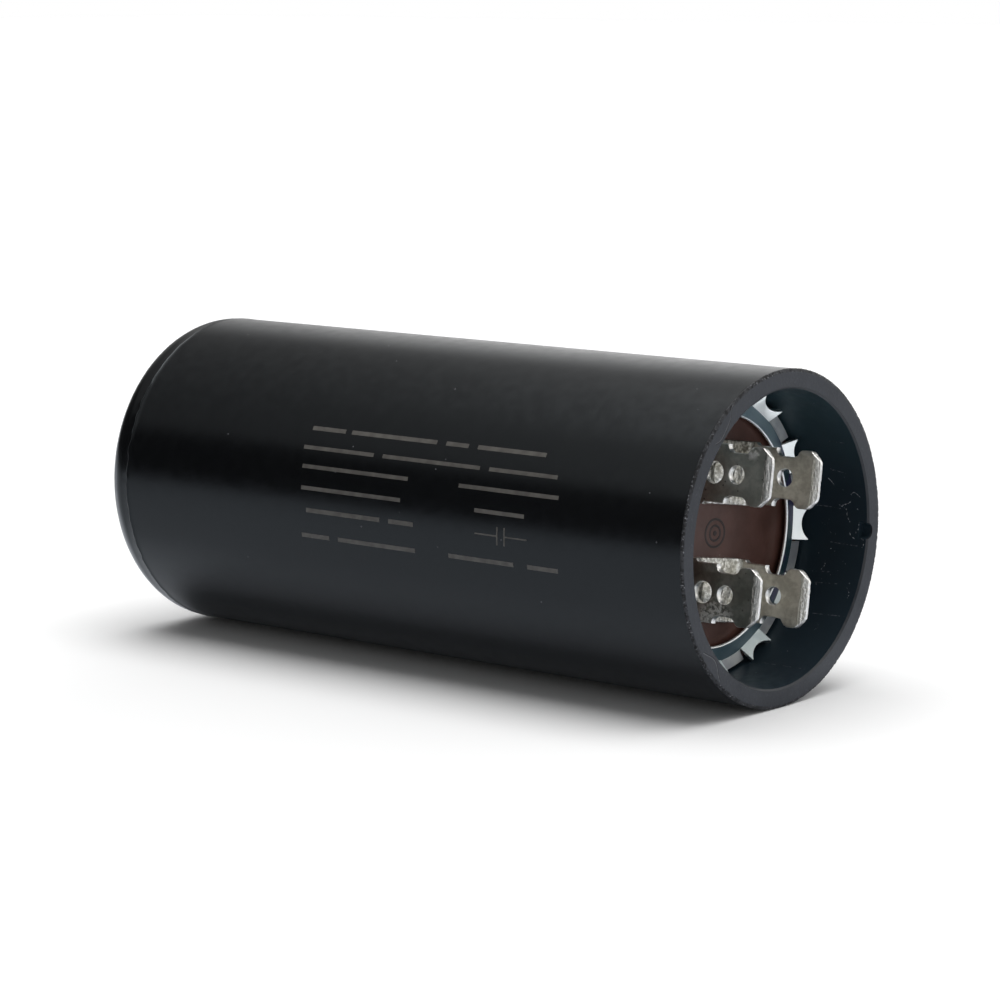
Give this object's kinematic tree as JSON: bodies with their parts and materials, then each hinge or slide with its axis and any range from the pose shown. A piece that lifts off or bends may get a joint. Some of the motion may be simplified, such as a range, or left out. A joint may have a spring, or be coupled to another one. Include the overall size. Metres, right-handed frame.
{
  "type": "motor start capacitor",
  "caption": "Round moulded motor start capacitor with a recessed header, toothed retaining ring and dual quick-connect tab terminals.",
  "frame": {"origin": "centre of the closed end, on the face that the part stands on", "axes": "+Z along the case from the closed end to the terminals; +X along the row of a terminal's two tabs; +Y from one terminal to the other"},
  "size_m": [0.0364, 0.0364, 0.0865],
  "materials": {
    "case_phenolic": "black moulded phenolic, semi-gloss",
    "header_phenolic": "dark brown pressed laminate, satin",
    "seal_rubber": "flat black rubber",
    "zinc_spring_steel": "blue zinc plate on spring steel",
    "tinned_terminal": "dull tin plate on stamped sheet",
    "rivet_metal": "dull tin plate",
    "lead_aluminium": "plain rolled strip",
    "wound_paper_foil": "wound paper and foil"
  },
  "bodies": {
    "root": {"case": "case_phenolic", "header": "header_phenolic", "header_gasket": "seal_rubber", "retaining_ring": "zinc_spring_steel", "terminal_a": "tinned_terminal", "terminal_b": "tinned_terminal", "terminal_rivets": "rivet_metal", "lead_straps": "lead_aluminium", "winding": "wound_paper_foil"}
  },
  "joints": []
}
